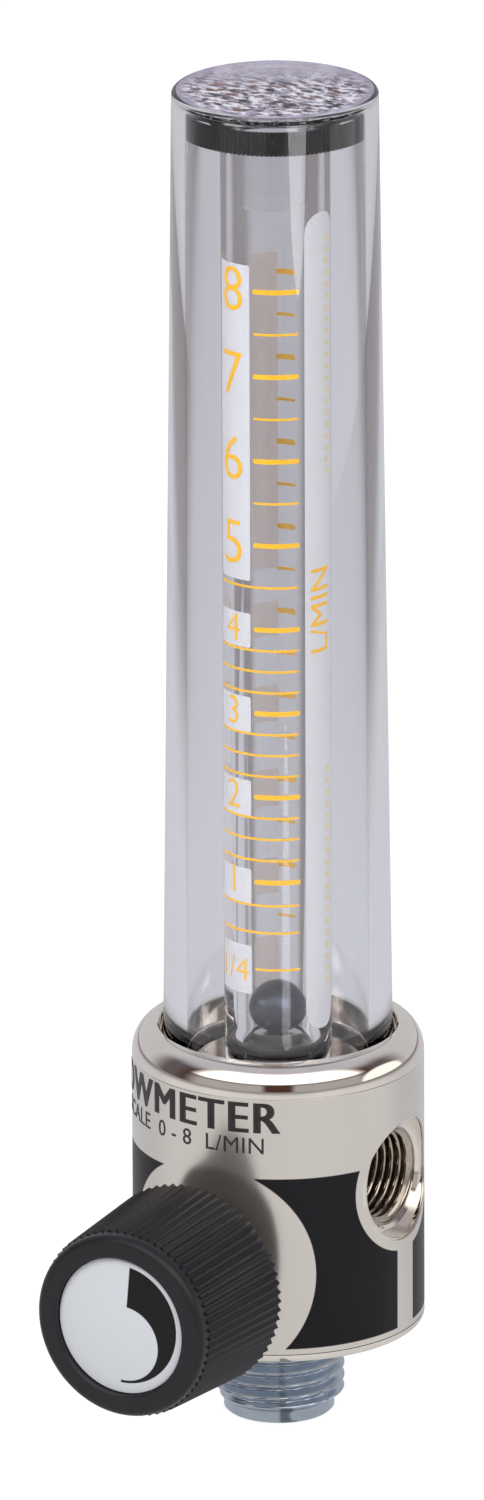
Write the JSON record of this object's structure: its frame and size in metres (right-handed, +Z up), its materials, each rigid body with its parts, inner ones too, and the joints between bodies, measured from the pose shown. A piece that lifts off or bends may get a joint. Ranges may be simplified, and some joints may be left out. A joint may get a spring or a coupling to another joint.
{
  "type": "gas flowmeter with needle valve",
  "caption": "Upright clear-tube gas flowmeter: chromed body, ball float in a graduated tube, knurled needle-valve knob, side inlet port and threaded lower outlet.",
  "frame": {"origin": "centre of the inlet port's spot face", "axes": "+Z up along the flow tube, +X out of the inlet port, -Y out through the knob"},
  "size_m": [0.0318, 0.0508, 0.15],
  "materials": {
    "chrome": "mirror-bright chrome plating",
    "label_foil": "satin warm silver foil with black print",
    "outlet_chrome": "satin chrome plating",
    "black_rubber": "matt",
    "grey_rubber": "matt, finely toothed",
    "clear_shroud": "clear polycarbonate, faint lavender tint",
    "clear_tube": "clear polycarbonate with printed scale",
    "nickel": "turned, nickel plated",
    "dark_steel": "polished, dark",
    "brass": "turned",
    "white_nylon": "satin",
    "knob_black": "moulded, knurled, semi-gloss",
    "insert_white": "fine matt with black tapered arc",
    "bronze": "sintered, rough"
  },
  "bodies": {
    "meter": {"valve_body": "chrome", "wrap_label": "label_foil", "outlet_fitting": "outlet_chrome", "outlet_o_ring": "black_rubber", "shroud": "clear_shroud", "shroud_o_ring": "black_rubber", "flow_tube": "clear_tube", "tube_o_ring": "black_rubber", "ball_seat": "nickel", "float_stop": "clear_tube", "centring_ring": "grey_rubber", "bonnet": "brass", "bonnet_gasket": "white_nylon", "valve_seat": "white_nylon", "inlet_filter": "bronze", "filter_clip": "dark_steel"},
    "stem_slider": {"stem_o_ring": "black_rubber"},
    "knob_and_stem": {"knob": "knob_black", "knob_insert": "insert_white", "knob_screw": "nickel", "valve_stem": "nickel"},
    "float": {"float_ball": "dark_steel"}
  },
  "joints": [
    {"name": "stem_travel", "type": "slide", "parent": "meter", "child": "stem_slider", "axis": [0, -1, 0], "range_m": [0, 0.0016]},
    {"name": "knob_turn", "type": "hinge", "parent": "stem_slider", "child": "knob_and_stem", "pos_m": [-0.0143, -0.027, -0.0087], "axis": [0, -1, 0], "range_deg": [0, 720]},
    {"name": "float_rise", "type": "slide", "parent": "meter", "child": "float", "axis": [0, 0, 1], "range_m": [0, 0.0876]}
  ],
  "couplings": [
    {"joint": "stem_travel", "follows": "knob_turn", "m_per_rad": 0.00012633}
  ]
}
